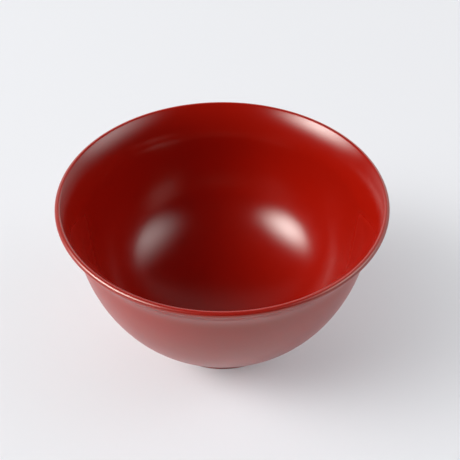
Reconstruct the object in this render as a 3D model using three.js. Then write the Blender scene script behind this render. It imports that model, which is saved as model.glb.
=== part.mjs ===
// A lacquered soup bowl with a flared lip, built up in layers around a turned wooden core.
// Millimetres, +Z up. The origin is the middle of the foot, on the surface that the bowl stands on.

import * as THREE from 'three';

// The finished bowl
const rimDiameter = 120; // over the lip
const bowlHeight = 66;
const lipThickness = 2.3; // the lip is a half round
const lipLean = 42; // degrees out from upright
const flareReach = 5.7; // from the neck out to the lip
const flareHeight = 13; // from the neck up to the top of the lip
const neckWall = 2.5; // from the inside to the outside
const neckLean = 2; // degrees out from upright, on the outside
const innerNeckLean = 7; // degrees out from upright, on the inside
const bodyRise = 8.9; // height at which the body springs from the fillet above the foot
const bodySlope = 20; // degrees up from level, where the body springs
const footDiameter = 56.8;
const footRingWidth = 3.2;
const footEdge = 0.8; // rounding of the ring's two lower edges
const footFillet = 2; // between the ring and the body
const recessDepth = 5.5; // under the bowl, inside the foot ring
const recessFillet = 2;
const wellFloor = 5; // from the recess up to the bottom of the well

// How full the curves are: the length of a curve's handle, as a share of its chord
const bodyFullness = 0.32;
const wallFullness = 0.326;
const flareFullness = 0.35;
const innerWallFullness = 0.242;
const wellFullness = 0.687;

// The layers, from the surface down
const lacquerThickness = 0.1;
const groundThickness = 0.15; // over the cloth; the ground is level, so it is thicker beside it
const clothThickness = 0.2;
const bondGap = 0.02; // between one layer and the next
const wellClothDiameter = 48;

// Facets
const sides = 36;
const bodySteps = 6;
const flareSteps = 3;
const lipSideSteps = 1;
const lipTopSteps = 2;
const wallSteps = 4;
const wellSteps = 2;
const edgeSteps = 2;

const degree = Math.PI / 180;
const point = (r, z) => new THREE.Vector2(r, z);
const along = (start, direction, length) => start.clone().addScaledVector(direction, length);
const leaningOut = (angle) => point(Math.sin(angle * degree), Math.cos(angle * degree));
const turnedLeft = (direction) => point(-direction.y, direction.x);

// A curve that leaves one point and arrives at the other in the directions given
function sweep(start, startDirection, startShare, end, endDirection, endShare) {
  const chord = start.distanceTo(end);
  const startHandle = along(start, startDirection, chord * startShare);
  const endHandle = along(end, endDirection, -chord * endShare);
  return new THREE.CubicBezierCurve(start, startHandle, endHandle, end);
}

function arc(centre, radius, fromAngle, toAngle) {
  const clockwise = toAngle < fromAngle;
  return new THREE.EllipseCurve(
    centre.x, centre.y, radius, radius, fromAngle * degree, toAngle * degree, clockwise,
  );
}

// Where a curve that comes in towards the axis passes a radius, as a share of the curve's run
function shareAtRadius(curve, radius) {
  const halvings = 40;
  let before = 0;
  let after = 1;
  for (let i = 0; i < halvings; i += 1) {
    const middle = (before + after) / 2;
    if (curve.getPoint(middle).x > radius) before = middle;
    else after = middle;
  }
  return before;
}

// The outline of the finished bowl, as radius and height. It runs from the axis under the bowl, round
// the foot, up the outside, over the lip and down the inside to the axis, with the bowl on its left.
const outline = [];
const station = {};

function add(...points) {
  outline.push(...points);
}

// Adds a curve that starts at the outline's last point
function follow(curve, steps) {
  add(...curve.getPoints(steps).slice(1));
}

function mark(name) {
  station[name] = outline.length - 1;
}

const footRadius = footDiameter / 2;
const ringInside = footRadius - footRingWidth;
const lipRadius = lipThickness / 2;
const rimRadius = rimDiameter / 2;

// Recess and foot ring
const recessCentre = point(ringInside - recessFillet, recessDepth - recessFillet);
const recessCorner = arc(recessCentre, recessFillet, 90, 0);
const innerEdge = arc(point(ringInside + footEdge, footEdge), footEdge, 180, 270);
const outerEdge = arc(point(footRadius - footEdge, footEdge), footEdge, 270, 360);
const filletBase = bodyRise - footFillet * Math.cos(bodySlope * degree);
const fillet = arc(point(footRadius + footFillet, filletBase), footFillet, 180, 90 + bodySlope);
add(point(0, recessDepth));
add(...recessCorner.getPoints(edgeSteps));
mark('recessWall');
add(...innerEdge.getPoints(edgeSteps));
add(...outerEdge.getPoints(edgeSteps));
mark('footEdge');
add(fillet.getPoint(0));
mark('footTop');
follow(fillet, edgeSteps);

// Outside of the body and the flare
const springing = fillet.getPoint(1);
const springDirection = leaningOut(90 - bodySlope);
const neckDirection = leaningOut(neckLean);
const lipDirection = leaningOut(lipLean);
const neck = point(rimRadius - flareReach, bowlHeight - flareHeight);
const lipCentre = point(rimRadius - lipRadius, bowlHeight - lipRadius);
const lipOutside = arc(lipCentre, lipRadius, -lipLean, 0);
const lipTop = arc(lipCentre, lipRadius, 0, 90);
const lipInside = arc(lipCentre, lipRadius, 90, 180 - lipLean);
const lipStart = lipOutside.getPoint(0);
const lipEnd = lipInside.getPoint(1);
const body = sweep(springing, springDirection, bodyFullness, neck, neckDirection, wallFullness);
const flare = sweep(neck, neckDirection, flareFullness, lipStart, lipDirection, flareFullness);
follow(body, bodySteps);
mark('neck');
follow(flare, flareSteps);

// The lip, with its crest at the top
follow(lipOutside, lipSideSteps);
follow(lipTop, lipTopSteps);
mark('crest');
follow(lipInside, lipSideSteps);

// Inside of the flare, and the wall that comes down from it to the middle of the well
const innerNeck = point(neck.x - neckWall, neck.y);
const innerNeckDirection = leaningOut(innerNeckLean);
const innerFlare = sweep(
  innerNeck, innerNeckDirection, flareFullness, lipEnd, lipDirection, flareFullness,
);
const wellMiddle = point(0, recessDepth + wellFloor);
const downTheWall = innerNeckDirection.clone().negate();
const towardsAxis = point(-1, 0);
const innerWall = sweep(
  innerNeck, downTheWall, innerWallFullness, wellMiddle, towardsAxis, wellFullness,
);
const clothShare = shareAtRadius(innerWall, wellClothDiameter / 2);
for (let i = 1; i <= flareSteps; i += 1) add(innerFlare.getPoint(1 - i / flareSteps));
mark('innerNeck');
for (let i = 1; i <= wallSteps; i += 1) add(innerWall.getPoint(clothShare * i / wallSteps));
mark('wellClothEdge');
for (let i = 1; i <= wellSteps; i += 1) {
  add(innerWall.getPoint(clothShare + (1 - clothShare) * i / wellSteps));
}
mark('wellMiddle');

// A point of the outline. Past the axis the outline goes on as its own mirror image.
function outlinePoint(index) {
  const last = outline.length - 1;
  if (index < 0) return point(-outline[1].x, outline[1].y);
  if (index > last) return point(-outline[last - 1].x, outline[last - 1].y);
  return outline[index];
}

// A point of the outline sunk into the bowl, so that each facet moves in by the same depth
function sunk(index, depth) {
  const here = outlinePoint(index);
  const arriving = here.clone().sub(outlinePoint(index - 1)).normalize();
  const leaving = outlinePoint(index + 1).clone().sub(here).normalize();
  const normalIn = turnedLeft(arriving);
  const normalOut = turnedLeft(leaving);
  const shift = normalIn.clone().add(normalOut).divideScalar(1 + normalIn.dot(normalOut));
  return along(here, shift, depth);
}

// The strips of cloth, each from one pared edge to the other
const strips = {
  foot: [station.recessWall, station.footTop],
  rim: [station.neck, station.innerNeck],
  well: [station.wellClothEdge, outline.length],
};
const isCovered = (index) => Object.values(strips).some(([from, to]) => index > from && index < to);

// Depths of the layers below the finished surface
const groundTop = lacquerThickness + bondGap;
const clothBottom = groundTop + groundThickness + bondGap + clothThickness;
const coreTop = clothBottom + bondGap;
const clothTop = (index) => clothBottom - (isCovered(index) ? clothThickness : 0);
const groundBottom = (index) => clothTop(index) - bondGap;

function path(from, to, depthAt) {
  const points = [];
  for (let i = from; i <= to; i += 1) points.push(sunk(i, depthAt(i)));
  return points;
}

// A coat's end stops half a bond gap short of its seam. On the axis there is no seam.
function drawBack(points) {
  const ends = [[0, 1], [points.length - 1, points.length - 2]];
  for (const [end, next] of ends) {
    const length = points[end].distanceTo(points[next]);
    if (points[end].x > 0) points[end].lerp(points[next], bondGap / 2 / length);
  }
  return points;
}

function revolve(name, profile, material) {
  const geometry = new THREE.LatheGeometry(profile, sides);
  geometry.rotateX(Math.PI / 2);
  const mesh = new THREE.Mesh(geometry, material);
  mesh.name = name;
  return mesh;
}

// One layer, between a path at its top and a path at its bottom. A layer that meets the axis starts
// and ends there, and any other closes on itself.
function layer(name, top, bottom, material) {
  const back = bottom.slice().reverse();
  if (top[0].x === 0) return revolve(name, [...top, ...back], material);
  if (back[0].x === 0) return revolve(name, [...back, ...top], material);
  return revolve(name, [...top, ...back, top[0]], material);
}

function coat(name, from, to, topAt, bottomAt, material) {
  const top = drawBack(path(from, to, topAt));
  const bottom = drawBack(path(from, to, bottomAt));
  return layer(name, top, bottom, material);
}

function lacquer(name, from, to) {
  return coat(name, from, to, () => 0, () => lacquerThickness, lacquerFinish);
}

function ground(name, from, to) {
  return coat(name, from, to, () => groundTop, groundBottom, groundFinish);
}

// Cloth is pared to nothing at its edges, where its top and bottom meet in one point
function cloth(name, [from, to]) {
  const last = outline.length - 1;
  const top = path(from, Math.min(to, last), clothTop);
  const bottom = path(from + 1, Math.min(to - 1, last), () => clothBottom);
  return layer(name, top, bottom, clothFinish);
}

const finish = (color, roughness) => new THREE.MeshStandardMaterial({ color, roughness, metalness: 0 });
const lacquerFinish = finish(0xa01408, 0.22);
const groundFinish = finish(0x3b2a22, 0.9);
const clothFinish = finish(0xcbbb98, 0.95);
const woodFinish = finish(0xb9905f, 0.7);

const bowl = new THREE.Group();
bowl.name = 'bowl';
bowl.add(
  revolve('wood_core', path(0, station.wellMiddle, () => coreTop), woodFinish),
  cloth('rim_cloth', strips.rim),
  cloth('foot_cloth', strips.foot),
  cloth('well_cloth', strips.well),
  ground('outer_ground', 0, station.crest),
  ground('inner_ground', station.crest, station.wellMiddle),
  lacquer('foot_lacquer', 0, station.footEdge),
  lacquer('outer_lacquer', station.footEdge, station.crest),
  lacquer('inner_lacquer', station.crest, station.wellMiddle),
);

export default bowl;
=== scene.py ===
"""A red lacquered soup bowl, layer by layer from its turned core to its lacquer, on a pale floor.

Metres, +Z up. The origin is the middle of the foot, on the surface that the bowl stands on.
"""
import math

import bpy
from mathutils import Euler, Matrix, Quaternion, Vector


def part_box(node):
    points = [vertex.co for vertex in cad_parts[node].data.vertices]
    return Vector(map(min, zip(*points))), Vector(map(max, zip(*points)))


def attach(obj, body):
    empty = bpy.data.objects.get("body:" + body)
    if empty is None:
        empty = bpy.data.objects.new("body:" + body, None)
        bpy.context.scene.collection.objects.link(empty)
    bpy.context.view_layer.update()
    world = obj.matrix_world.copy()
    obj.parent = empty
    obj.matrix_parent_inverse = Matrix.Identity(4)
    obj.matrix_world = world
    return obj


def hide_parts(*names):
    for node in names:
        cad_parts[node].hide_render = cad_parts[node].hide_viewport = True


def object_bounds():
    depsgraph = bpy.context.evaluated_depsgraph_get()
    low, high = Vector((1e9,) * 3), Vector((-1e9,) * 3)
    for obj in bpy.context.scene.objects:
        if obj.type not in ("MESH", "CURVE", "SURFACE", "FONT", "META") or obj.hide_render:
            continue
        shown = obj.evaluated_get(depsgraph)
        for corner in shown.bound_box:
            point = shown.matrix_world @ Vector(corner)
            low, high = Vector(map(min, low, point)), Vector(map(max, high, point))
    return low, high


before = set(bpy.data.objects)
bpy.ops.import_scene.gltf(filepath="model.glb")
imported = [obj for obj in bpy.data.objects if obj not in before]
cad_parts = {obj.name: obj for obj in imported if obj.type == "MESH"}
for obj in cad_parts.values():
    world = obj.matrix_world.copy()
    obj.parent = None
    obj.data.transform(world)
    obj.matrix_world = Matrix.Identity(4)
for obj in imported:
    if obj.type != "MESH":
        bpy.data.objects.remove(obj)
cad_low, cad_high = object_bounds()

MM = 0.001
TINY = 1e-9  # near enough to nothing
NOISE_RANGE = (0.3, 0.7)  # where most of a noise's values lie

# The layers, from the surface down
LACQUER = 0.1 * MM
GROUND = 0.15 * MM  # over the cloth; the ground is level, so it is thicker beside it
CLOTH = 0.2 * MM
BOND_GAP = 0.02 * MM  # between one layer and the next
SEAM_GAP = 0.002 * MM  # between two coats that meet edge to edge
WELL_CLOTH_RADIUS = 24 * MM

# Depths of the layers below the finished surface
GROUND_TOP = LACQUER + BOND_GAP
CLOTH_BOTTOM = GROUND_TOP + GROUND + BOND_GAP + CLOTH
CORE_TOP = CLOTH_BOTTOM + BOND_GAP

# The finished bowl. The CAD parts give its outer sizes, and how deep the recess and the well go.
RIM_RADIUS = cad_high.x
BOWL_HEIGHT = cad_high.z
FOOT_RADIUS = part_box("foot_lacquer")[1].x
RECESS_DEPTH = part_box("foot_lacquer")[1].z - LACQUER
WELL_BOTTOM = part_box("inner_lacquer")[0].z + LACQUER
LIP_RADIUS = 1.15 * MM
LIP_LEAN = 42  # degrees out from upright
FLARE_REACH = 5.7 * MM  # from the neck out to the lip
FLARE_HEIGHT = 13 * MM  # from the neck up to the top of the lip
NECK_WALL = 2.5 * MM  # from the inner neck out to the outer one
NECK_LEAN = 2  # degrees out from upright, on the outside
INNER_NECK_LEAN = 7  # degrees out from upright, on the inside
BODY_RISE = 8.9 * MM  # height at which the body springs from the fillet above the foot
BODY_SLOPE = 20  # degrees up from level, where the body springs
FOOT_RING_WIDTH = 3.2 * MM
FOOT_EDGE = 0.8 * MM  # rounding of the ring's two lower edges
FOOT_FILLET = 2 * MM
RECESS_FILLET = 2 * MM

# How full the curves are: the length of a curve's handle, as a share of its chord
BODY_FULLNESS = 0.32
WALL_FULLNESS = 0.326
FLARE_FULLNESS = 0.35

# The inside, up to 0.64 mm fuller than the solids, as its reflections show it
INNER_FLARE_HEIGHT = 13.6 * MM  # from the inner neck up to the top of the lip
INNER_NECK_FULLNESS = 0.29
INNER_WALL_FULLNESS = 0.265
WELL_FULLNESS = 0.699

# Steps along the curves and round the bowl
SIDES = 144
BODY_STEPS = 28
FLARE_STEPS = 12
LIP_STEPS = 8  # for each quarter or so of the lip
WALL_STEPS = 24
WELL_STEPS = 10
EDGE_STEPS = 6
SEAM_ANGLE = 2  # degrees between a seam and the next ring, so that shading runs on across it
SHARP_ANGLE = 50  # degrees; a sharper edge is shaded as an edge

# Red lacquer
LACQUER_COLOURS = ((0.321, 0.0054, 0.0012), (0.348, 0.0058, 0.0013))
ROUGHNESS_SPREAD = 0.01  # to either side of the lacquer's roughness
GLANCING_ROUGHNESS = 0.29  # the least, where the lacquer is seen at a glancing angle
GLANCING_RANGE = (0.55, 0.72)  # where that sets in, between 0, seen square on, and 1, edge on
RUBBED_HEIGHTS = (0.5 * MM, 0.05 * MM)  # at which the foot's wear sets in and is full
RUBBED_ROUGHNESS = 0.25  # what the wear adds
SETTLE_HEIGHT = 0.002 * MM
BRUSH_RING_HEIGHT = 0.0006 * MM

# Ground coat
GROUND_COLOURS = ((0.032, 0.017, 0.011), (0.085, 0.049, 0.034))
GROUND_ROUGHNESS = (0.82, 0.95)
GRAIN_HEIGHT = 0.02 * MM

# Linen
LINEN_COLOURS = ((0.30, 0.22, 0.12), (0.66, 0.56, 0.37))
LINEN_ROUGHNESS = (0.85, 0.95)
THREAD = 0.8 * MM  # from one thread to the next
WEAVE_HEIGHT = 0.06 * MM

# Wood
WOOD_COLOURS = ((0.50, 0.30, 0.135), (0.30, 0.155, 0.062))
WOOD_ROUGHNESS = (0.55, 0.72)
RING_SCALE = (0.35, 1, 1)  # the growth rings wander less along the trunk than across it
HEART_OFFSET = (0, 0.02, 0.11)  # from the heart of the trunk to the bowl
FIBRES_PER_METRE = (60, 2400, 2400)  # along the trunk and across it
FIBRE_BASE = 0.45  # darkness of a growth ring between its fibres
FIBRE_HEIGHT = 0.012 * MM

# Floor, a wide disc
FLOOR_COLOUR = (0.835, 0.842, 0.867)
FLOOR_ROUGHNESS = 0.9
FLOOR_GLOSS = 0.2
NEAR_SHARE = 0.2  # of the floor's own white at the foot
OWN_SHARE = 0.7  # of its own white around the bowl
LIT_RADIUS = 0.15  # at which the floor has come to that share
WHITE_RADIUS = 1.5  # from which on it is all its own white
FLOOR_RADIUS = 3

# Light
ROOM_COLOUR = (0.008, 0.008, 0.0085)
LIT_POINT = Vector((0, 0, 35 * MM))
LAMP_DISTANCE = 1.6
LAMP_HALF = 0.5  # from a lamp's middle to its edge, as a share of its side
LAMP_FADE = 2  # the power with which its light fades towards the edge

# Camera, at the photograph's viewing angle
CAMERA_PLACE = Vector((2.81, -230.12, 252.3)) * MM
CAMERA_PITCH = 41.66  # degrees below level
CAMERA_ROLL = 0.31  # degrees
FOCAL_PIXELS = 819
IMAGE_PIXELS = 460
SENSOR_WIDTH = 36  # millimetres
NEAR_CLIP = 10 * MM


# Curves, in radius and height


def point(radius, height):
    return Vector((radius, height))


def leaning_out(angle):
    return point(math.sin(math.radians(angle)), math.cos(math.radians(angle)))


def turned_left(direction):
    return point(-direction.y, direction.x)


def on_axis(place):
    return abs(place.x) < TINY


def arc(centre, radius, start, end, steps):
    """Points of an arc between two angles in degrees, both ends included."""
    angles = [math.radians(start + (end - start) * i / steps) for i in range(steps + 1)]
    return [centre + radius * point(math.cos(a), math.sin(a)) for a in angles]


def curve_point(handles, share):
    """The point of a Bezier curve at a share of its run."""
    while len(handles) > 1:
        handles = [a.lerp(b, share) for a, b in zip(handles, handles[1:])]
    return handles[0]


def curve(handles, first, last, steps):
    """Points of a Bezier curve between two shares of its run, both ends included."""
    return [curve_point(handles, first + (last - first) * i / steps) for i in range(steps + 1)]


def sweep(start, start_direction, start_share, end, end_direction, end_share):
    """Handles of a curve that leaves one point and arrives at the other in the directions given."""
    chord = (end - start).length
    start_handle = start + start_direction * chord * start_share
    end_handle = end - end_direction * chord * end_share
    return [start, start_handle, end_handle, end]


def share_at_radius(handles, radius):
    """Where a curve that comes in towards the axis passes a radius, as a share of its run."""
    before, after = 0.0, 1.0
    while after - before > TINY:
        middle = (before + after) / 2
        if curve_point(handles, middle).x > radius:
            before = middle
        else:
            after = middle
    return before


# The outline of the finished bowl, as radius and height. It runs from the axis under the bowl, round
# the foot, up the outside, over the lip and down the inside to the axis, with the bowl on its left.
outline = []
station = {}


def follow(points, end=None):
    """Adds points to the outline, and a name for the last one."""
    same = outline and (points[0] - outline[-1]).length < SEAM_GAP
    outline.extend(points[1:] if same else points)
    if end:
        station[end] = len(outline) - 1


def draw_foot():
    ring_inside = FOOT_RADIUS - FOOT_RING_WIDTH
    recess_centre = point(ring_inside - RECESS_FILLET, RECESS_DEPTH - RECESS_FILLET)
    inner_centre = point(ring_inside + FOOT_EDGE, FOOT_EDGE)
    outer_centre = point(FOOT_RADIUS - FOOT_EDGE, FOOT_EDGE)
    follow([point(0, RECESS_DEPTH)])
    follow(arc(recess_centre, RECESS_FILLET, 90, 0, EDGE_STEPS), "recess_wall")
    follow(arc(inner_centre, FOOT_EDGE, 180, 270, EDGE_STEPS))
    follow(arc(outer_centre, FOOT_EDGE, 270, 360 - SEAM_ANGLE, EDGE_STEPS))
    follow([point(FOOT_RADIUS, FOOT_EDGE)], "foot_edge")
    fillet_base = BODY_RISE - FOOT_FILLET * math.cos(math.radians(BODY_SLOPE))
    fillet_centre = point(FOOT_RADIUS + FOOT_FILLET, fillet_base)
    follow([point(FOOT_RADIUS, fillet_base)], "foot_top")
    follow(arc(fillet_centre, FOOT_FILLET, 180, 90 + BODY_SLOPE, EDGE_STEPS))


def draw_bowl():
    spring = outline[-1]
    spring_direction = leaning_out(90 - BODY_SLOPE)
    neck_direction = leaning_out(NECK_LEAN)
    lip_direction = leaning_out(LIP_LEAN)
    neck = point(RIM_RADIUS - FLARE_REACH, BOWL_HEIGHT - FLARE_HEIGHT)
    lip_centre = point(RIM_RADIUS - LIP_RADIUS, BOWL_HEIGHT - LIP_RADIUS)
    lip_outside = arc(lip_centre, LIP_RADIUS, -LIP_LEAN, 0, LIP_STEPS)
    lip_top = arc(lip_centre, LIP_RADIUS, 0, 90 - SEAM_ANGLE, LIP_STEPS)
    lip_inside = arc(lip_centre, LIP_RADIUS, 90 + SEAM_ANGLE, 180 - LIP_LEAN, LIP_STEPS)

    body = sweep(spring, spring_direction, BODY_FULLNESS, neck, neck_direction, WALL_FULLNESS)
    flare = sweep(
        neck, neck_direction, FLARE_FULLNESS, lip_outside[0], lip_direction, FLARE_FULLNESS
    )
    follow(curve(body, 0, 1, BODY_STEPS), "neck")
    follow(curve(flare, 0, 1, FLARE_STEPS))
    follow(lip_outside)
    follow(lip_top)
    follow([point(lip_centre.x, BOWL_HEIGHT)], "crest")
    follow(lip_inside)

    inner_neck = point(neck.x - NECK_WALL, BOWL_HEIGHT - INNER_FLARE_HEIGHT)
    inner_direction = leaning_out(INNER_NECK_LEAN)
    well_middle = point(0, WELL_BOTTOM)
    towards_axis = point(-1, 0)
    inner_flare = sweep(
        inner_neck, inner_direction, INNER_NECK_FULLNESS,
        lip_inside[-1], lip_direction, FLARE_FULLNESS,
    )
    inner_wall = sweep(
        inner_neck, -inner_direction, INNER_WALL_FULLNESS, well_middle, towards_axis, WELL_FULLNESS
    )
    cloth_share = share_at_radius(inner_wall, WELL_CLOTH_RADIUS)
    follow(curve(inner_flare, 1, 0, FLARE_STEPS), "inner_neck")
    follow(curve(inner_wall, 0, cloth_share, WALL_STEPS), "well_cloth_edge")
    follow(curve(inner_wall, cloth_share, 1, WELL_STEPS), "well_middle")


draw_foot()
draw_bowl()

# The strips of cloth, each from one pared edge to the other. The one in the well meets the axis.
FOOT_STRIP = (station["recess_wall"], station["foot_top"])
RIM_STRIP = (station["neck"], station["inner_neck"])
WELL_STRIP = (station["well_cloth_edge"], len(outline))


def cloth_top(index):
    """Depth of the cloth's top at a point of the outline."""
    covered = any(start < index < end for start, end in (FOOT_STRIP, RIM_STRIP, WELL_STRIP))
    return CLOTH_BOTTOM - CLOTH if covered else CLOTH_BOTTOM


def outline_point(index):
    """A point of the outline, which goes on past the axis as its own mirror image."""
    last = len(outline) - 1
    if index < 0:
        return point(-outline[1].x, outline[1].y)
    if index > last:
        return point(-outline[last - 1].x, outline[last - 1].y)
    return outline[index]


def sunk(index, depth):
    """A point of the outline sunk into the bowl, so that each facet moves in by the same depth."""
    here = outline_point(index)
    normal_in = turned_left((here - outline_point(index - 1)).normalized())
    normal_out = turned_left((outline_point(index + 1) - here).normalized())
    return here + (normal_in + normal_out) * depth / (1 + normal_in.dot(normal_out))


def path(start, end, depth_at):
    return [sunk(index, depth_at(index)) for index in range(start, end + 1)]


def drawn_back(points):
    """A coat's path, with each end that makes a seam half a gap short of it."""
    first, last = points[0], points[-1]
    if not on_axis(first):
        first = first + (points[1] - first).normalized() * SEAM_GAP / 2
    if not on_axis(last):
        last = last + (points[-2] - last).normalized() * SEAM_GAP / 2
    return [first, *points[1:-1], last]


# Meshes and objects


def turned_mesh(name, profile, closed):
    """A smooth mesh of revolution."""
    vertices = []
    rings = []
    for place in profile:
        first = len(vertices)
        if on_axis(place):
            vertices.append((0, 0, place.y))
            rings.append([first] * SIDES)
            continue
        for side in range(SIDES):
            angle = math.tau * side / SIDES
            vertices.append((place.x * math.cos(angle), place.x * math.sin(angle), place.y))
        rings.append(range(first, first + SIDES))
    if closed:
        rings.append(rings[0])
    faces = []
    for lower, upper in zip(rings, rings[1:]):
        for side in range(SIDES):
            following = (side + 1) % SIDES
            corners = (lower[side], lower[following], upper[following], upper[side])
            faces.append(tuple(dict.fromkeys(corners)))
    mesh = bpy.data.meshes.new(name)
    mesh.from_pydata(vertices, [], faces)
    mesh.shade_smooth()
    mesh.set_sharp_from_angle(angle=math.radians(SHARP_ANGLE))
    return mesh


def placed(name, data):
    thing = bpy.data.objects.new(name, data)
    bpy.context.scene.collection.objects.link(thing)
    return thing


def revolve(name, profile, closed):
    """A solid of revolution. A profile that isn't closed starts and ends on the axis."""
    piece = placed(name, turned_mesh(name, profile, closed))
    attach(piece, "root")
    return piece


def layer(name, top, bottom):
    """One layer, between a path at its top and a path at its bottom."""
    if on_axis(top[0]):
        return revolve(name, [*top, *reversed(bottom)], closed=False)
    if on_axis(top[-1]):
        return revolve(name, [*reversed(bottom), *top], closed=False)
    return revolve(name, [*top, *reversed(bottom)], closed=True)


def finished(piece, solid, material):
    """Puts a piece in the place of its CAD solid, with its finish."""
    piece.data.materials.append(material)
    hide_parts(solid)


# The pieces of the bowl


def core(name, solid):
    profile = path(0, station["well_middle"], lambda index: CORE_TOP)
    finished(revolve(name, profile, closed=False), solid, make_turned_wood())


def cloth(name, solid, strip):
    """A strip of cloth, pared to nothing at its edges, where its top and bottom meet."""
    start, end = strip
    last = len(outline) - 1
    top = path(start, min(end, last), cloth_top)
    bottom = path(start + 1, min(end - 1, last), lambda index: CLOTH_BOTTOM)
    piece = layer(name, top, bottom)
    if on_axis(top[-1]):
        finished(piece, solid, make_linen(name))
    else:
        mean_radius = sum(place.x for place in top) / len(top)
        finished(piece, solid, make_linen(name, mean_radius))


def ground(name, solid, start, end, material):
    top = drawn_back(path(start, end, lambda index: GROUND_TOP))
    bottom = drawn_back(path(start, end, lambda index: cloth_top(index) - BOND_GAP))
    finished(layer(name, top, bottom), solid, material)


def lacquer(name, solid, start, end, material):
    top = drawn_back(path(start, end, lambda index: 0))
    bottom = drawn_back(path(start, end, lambda index: LACQUER))
    finished(layer(name, top, bottom), solid, material)


# Nodes of materials and lamps


def shader_tree(name):
    """A new material, its node tree and its shader."""
    material = bpy.data.materials.new(name)
    material.use_nodes = True
    return material, material.node_tree, material.node_tree.nodes["Principled BSDF"]


def node(tree, kind, inputs, **settings):
    """A new node. Its inputs are plain values or the outputs of other nodes."""
    made = tree.nodes.new("ShaderNode" + kind)
    for name, value in settings.items():
        setattr(made, name, value)
    for name, value in inputs.items():
        if isinstance(value, bpy.types.NodeSocket):
            tree.links.new(value, made.inputs[name])
        else:
            made.inputs[name].default_value = value
    return made


def place_on_object(tree):
    return node(tree, "TexCoord", {}).outputs["Object"]


def separated(tree, place):
    return node(tree, "SeparateXYZ", {0: place}).outputs


def combined(tree, x, y, z):
    return node(tree, "CombineXYZ", {0: x, 1: y, 2: z}).outputs[0]


def scaled(tree, place, scale, location=(0, 0, 0)):
    made = node(tree, "Mapping", {"Vector": place, "Scale": scale, "Location": location})
    return made.outputs["Vector"]


def length(tree, place):
    return node(tree, "VectorMath", {0: place}, operation="LENGTH").outputs["Value"]


def noise(tree, place, scale, detail=2.0, roughness=0.5):
    made = node(tree, "TexNoise", {
        "Vector": place, "Scale": scale, "Detail": detail, "Roughness": roughness,
    })
    return made.outputs["Fac"]


def maths(tree, operation, first, second=0):
    return node(tree, "Math", {0: first, 1: second}, operation=operation).outputs["Value"]


def between(tree, value, from_range, to_range):
    """A value carried smoothly from one range over to another."""
    made = node(tree, "MapRange", {
        "Value": value, "From Min": from_range[0], "From Max": from_range[1],
        "To Min": to_range[0], "To Max": to_range[1],
    }, interpolation_type="SMOOTHSTEP")
    return made.outputs["Result"]


def blend(tree, share, colours):
    """A colour between two colours."""
    ramp = node(tree, "ValToRGB", {"Fac": share})
    for element, colour in zip(ramp.color_ramp.elements, colours):
        element.color = (*colour, 1)
    return ramp.outputs["Color"]


def bumped(tree, height, distance, normal=None):
    """A normal for a surface that rises by distance where height is 1."""
    inputs = {"Height": height, "Distance": distance, "Strength": 1.0}
    if normal:
        inputs["Normal"] = normal
    return node(tree, "Bump", inputs).outputs["Normal"]


def dress(tree, shader, colour, roughness, normal):
    """Joins a surface's colour, roughness and normal to its shader."""
    tree.links.new(colour, shader.inputs["Base Color"])
    tree.links.new(roughness, shader.inputs["Roughness"])
    tree.links.new(normal, shader.inputs["Normal"])


def show_mixed(tree, output, share, first, second):
    """Shows one shader, with a share of another mixed in."""
    mixed = node(tree, "MixShader", {0: share, 1: first, 2: second})
    tree.links.new(mixed.outputs["Shader"], tree.nodes[output].inputs["Surface"])


# Materials


def make_red_lacquer(name, roughness, ior, tint):
    """Red lacquer with faint clouds and brush rings, softer at glancing angles, worn under the foot."""
    material, tree, shader = shader_tree(name)
    shader.inputs["IOR"].default_value = ior
    shader.inputs["Specular Tint"].default_value = (*tint, 1)
    place = place_on_object(tree)
    parts = separated(tree, place)
    radius = length(tree, combined(tree, parts["X"], parts["Y"], 0))
    cloud = noise(tree, place, scale=55, detail=3)
    sheen = noise(tree, place, scale=160)
    settle = noise(tree, place, scale=700, detail=1)
    brush_rings = noise(tree, combined(tree, radius, 0, parts["Z"]), scale=1500, detail=1)

    satin_range = (roughness - ROUGHNESS_SPREAD, roughness + ROUGHNESS_SPREAD)
    satin = between(tree, sheen, NOISE_RANGE, satin_range)
    facing = node(tree, "LayerWeight", {"Blend": 0.5}).outputs["Facing"]
    glancing = between(tree, facing, GLANCING_RANGE, (0, GLANCING_ROUGHNESS))
    rubbed = between(tree, parts["Z"], RUBBED_HEIGHTS, (0, RUBBED_ROUGHNESS))
    level = bumped(tree, settle, SETTLE_HEIGHT)
    dress(
        tree, shader,
        colour=blend(tree, cloud, LACQUER_COLOURS),
        roughness=maths(tree, "ADD", maths(tree, "MAXIMUM", satin, glancing), rubbed),
        normal=bumped(tree, brush_rings, BRUSH_RING_HEIGHT, level),
    )
    return material


def make_ground_coat():
    """Lacquer and fired earth, rubbed level and matt, with the earth's grains."""
    material, tree, shader = shader_tree("ground coat")
    place = place_on_object(tree)
    grains = noise(tree, place, scale=4500, detail=3, roughness=0.7)
    patches = noise(tree, place, scale=120)
    dress(
        tree, shader,
        colour=blend(tree, maths(tree, "MULTIPLY", grains, patches), GROUND_COLOURS),
        roughness=between(tree, grains, NOISE_RANGE, GROUND_ROUGHNESS),
        normal=bumped(tree, grains, GRAIN_HEIGHT),
    )
    return material


def thread_counts(tree, place, strip_radius):
    """How many threads lie between the weave's start and a place, along each of its two directions."""
    parts = separated(tree, place)
    if not strip_radius:
        return [maths(tree, "DIVIDE", parts[axis], THREAD) for axis in ("X", "Y")]
    threads_round = 2 * round(math.pi * strip_radius / THREAD)
    angle = maths(tree, "ARCTAN2", parts["Y"], parts["X"])
    return [
        maths(tree, "MULTIPLY", angle, threads_round / math.tau),
        maths(tree, "DIVIDE", parts["Z"], THREAD),
    ]


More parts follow.
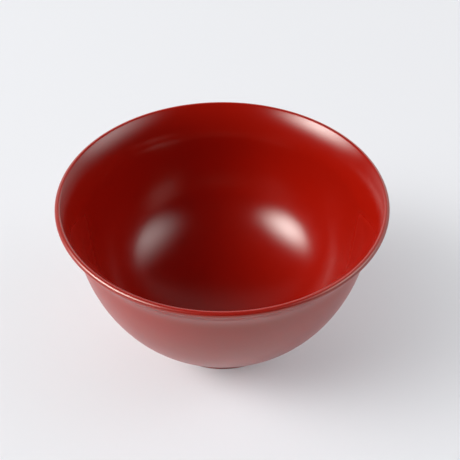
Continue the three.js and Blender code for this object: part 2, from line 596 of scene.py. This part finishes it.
def make_linen(name, strip_radius=None):
    """Plain-weave linen set in paste, with slubs in its threads. A strip's threads go round the bowl."""
    material, tree, shader = shader_tree(name)
    place = place_on_object(tree)
    counts = thread_counts(tree, place, strip_radius)
    rises = []
    for count in counts:
        wave = maths(tree, "SINE", maths(tree, "MULTIPLY", count, math.pi))
        rises.append(maths(tree, "ABSOLUTE", wave))
    mid_check = 0.5  # a height in the middle of a layer of checks
    crossing = combined(tree, counts[0], counts[1], mid_check)
    over = node(tree, "TexChecker", {"Vector": crossing, "Scale": 1.0}).outputs["Fac"]
    height = node(tree, "Mix", {0: over, 2: rises[0], 3: rises[1]}).outputs[0]
    slubs = noise(tree, place, scale=300, detail=3)
    dress(
        tree, shader,
        colour=blend(tree, maths(tree, "MULTIPLY", height, slubs), LINEN_COLOURS),
        roughness=between(tree, slubs, NOISE_RANGE, LINEN_ROUGHNESS),
        normal=bumped(tree, height, WEAVE_HEIGHT),
    )
    return material


def make_turned_wood():
    """Close-grained wood with its growth rings across the bowl, and fibres along them."""
    material, tree, shader = shader_tree("turned wood")
    place = place_on_object(tree)
    rings = node(tree, "TexWave", {
        "Vector": scaled(tree, place, RING_SCALE, HEART_OFFSET),
        "Scale": 110.0, "Distortion": 1.6, "Detail": 2.0, "Detail Scale": 1.5,
    }, wave_type="RINGS", rings_direction="X", wave_profile="SAW").outputs["Fac"]
    fibres = noise(tree, scaled(tree, place, FIBRES_PER_METRE), scale=1.0, detail=3)
    grain = maths(tree, "MULTIPLY", rings, maths(tree, "ADD", fibres, FIBRE_BASE))
    dress(
        tree, shader,
        colour=blend(tree, grain, WOOD_COLOURS),
        roughness=between(tree, fibres, NOISE_RANGE, WOOD_ROUGHNESS),
        normal=bumped(tree, fibres, FIBRE_HEIGHT),
    )
    return material


def make_floor_paint():
    """A pale paint, lit by the lamps near the bowl. Further off it is seen in its own even white."""
    material, tree, shader = shader_tree("pale floor")
    shader.inputs["Base Color"].default_value = (*FLOOR_COLOUR, 1)
    shader.inputs["Roughness"].default_value = FLOOR_ROUGHNESS
    shader.inputs["Specular IOR Level"].default_value = FLOOR_GLOSS
    off_axis = length(tree, place_on_object(tree))
    near_share = between(tree, off_axis, (FOOT_RADIUS, LIT_RADIUS), (NEAR_SHARE, OWN_SHARE))
    far_share = between(tree, off_axis, (LIT_RADIUS, WHITE_RADIUS), (0, 1 - OWN_SHARE))
    share = maths(tree, "ADD", near_share, far_share)
    ray = node(tree, "LightPath", {}).outputs
    seen = maths(tree, "MAXIMUM", ray["Is Camera Ray"], ray["Is Glossy Ray"])
    seen = maths(tree, "MAXIMUM", seen, ray["Is Transmission Ray"])
    white = node(tree, "Emission", {"Color": (*FLOOR_COLOUR, 1), "Strength": 1.0})
    show_mixed(
        tree, "Material Output", maths(tree, "MULTIPLY", seen, share),
        shader.outputs["BSDF"], white.outputs["Emission"],
    )
    return material


# Floor, lamps, room and camera


def make_floor():
    mesh = turned_mesh("floor", [point(FLOOR_RADIUS, 0), point(0, 0)], closed=False)
    mesh.materials.append(make_floor_paint())
    placed("floor", mesh)


def fade_to_edges(tree):
    """Lets a lamp's light fade from its middle to its edges."""
    spot = node(tree, "NewGeometry", {}).outputs["Parametric"]
    middle = (LAMP_HALF, LAMP_HALF, 0)
    off_middle = node(tree, "VectorMath", {0: spot, 1: middle}, operation="SUBTRACT").outputs["Vector"]
    fade = between(tree, length(tree, off_middle), (LAMP_HALF, 0), (0, 1))
    strength = maths(tree, "POWER", fade, LAMP_FADE)
    tree.links.new(strength, tree.nodes["Emission"].inputs["Strength"])


def softbox(name, azimuth, elevation, roll, width, height, radiance, colour=(1, 1, 1)):
    """A lamp aimed at the bowl, with its angles in degrees."""
    light = bpy.data.lights.new(name, "AREA")
    light.shape = "RECTANGLE"
    light.size = width
    light.size_y = height
    light.energy = radiance * math.pi * width * height
    light.color = colour
    light.use_nodes = True
    fade_to_edges(light.node_tree)
    turn, rise = math.radians(azimuth), math.radians(elevation)
    level = math.cos(rise)
    direction = Vector((math.sin(turn) * level, math.cos(turn) * level, math.sin(rise)))
    rolled = Quaternion(direction, math.radians(roll)) @ direction.to_track_quat("Z", "Y")
    lamp = placed(name, light)
    lamp.location = LIT_POINT + direction * LAMP_DISTANCE
    lamp.rotation_euler = rolled.to_euler()


def make_room():
    """A dark room for the lacquer to reflect, which the camera sees as pale as the far floor."""
    world = bpy.data.worlds.new("room")
    world.use_nodes = True
    tree = world.node_tree
    dark = tree.nodes["Background"]
    dark.inputs["Color"].default_value = (*ROOM_COLOUR, 1)
    pale = node(tree, "Background", {"Color": (*FLOOR_COLOUR, 1), "Strength": 1.0})
    ray = node(tree, "LightPath", {}).outputs
    show_mixed(
        tree, "World Output", ray["Is Camera Ray"],
        dark.outputs["Background"], pale.outputs["Background"],
    )
    bpy.context.scene.world = world


def make_camera():
    data = bpy.data.cameras.new("camera")
    data.sensor_width = SENSOR_WIDTH
    data.lens = FOCAL_PIXELS / IMAGE_PIXELS * SENSOR_WIDTH
    data.clip_start = NEAR_CLIP
    camera = placed("camera", data)
    camera.location = CAMERA_PLACE
    pitched = Euler((math.radians(90 - CAMERA_PITCH), 0, 0)).to_quaternion()
    rolled = Quaternion((0, 0, 1), math.radians(CAMERA_ROLL))
    camera.rotation_euler = (pitched @ rolled).to_euler()
    bpy.context.scene.camera = camera


# The bowl, from its core to its lacquer
inside_lacquer = make_red_lacquer(
    "red lacquer inside", roughness=0.206, ior=1.545, tint=(1, 1, 0.935)
)
outside_lacquer = make_red_lacquer(
    "red lacquer outside", roughness=0.3, ior=1.84, tint=(1, 0.99, 0.885)
)
ground_coat = make_ground_coat()
foot_edge = station["foot_edge"]
crest = station["crest"]
well_middle = station["well_middle"]
core("turned_core", "wood_core")
cloth("linen_rim", "rim_cloth", RIM_STRIP)
cloth("linen_foot", "foot_cloth", FOOT_STRIP)
cloth("linen_well", "well_cloth", WELL_STRIP)
ground("ground_outside", "outer_ground", 0, crest, ground_coat)
ground("ground_inside", "inner_ground", crest, well_middle, ground_coat)
lacquer("lacquer_foot", "foot_lacquer", 0, foot_edge, outside_lacquer)
lacquer("lacquer_outside", "outer_lacquer", foot_edge, crest, outside_lacquer)
lacquer("lacquer_inside", "inner_lacquer", crest, well_middle, inside_lacquer)

# Its surroundings: a large soft lamp at the left, a weaker one at the right and a faint one behind
make_floor()
softbox("key", azimuth=-100.9, elevation=37.9, roll=16.8, width=2.53, height=1.7, radiance=18.2)
softbox(
    "fill", azimuth=86.5, elevation=35.8, roll=-23, width=3.07, height=2.04, radiance=4.3,
    colour=(0.975, 0.99, 1.03),
)
softbox("back", azimuth=2.9, elevation=23.3, roll=0, width=8.8, height=2.15, radiance=1.94)
make_room()
make_camera()
bpy.context.scene.view_settings.view_transform = "Standard"
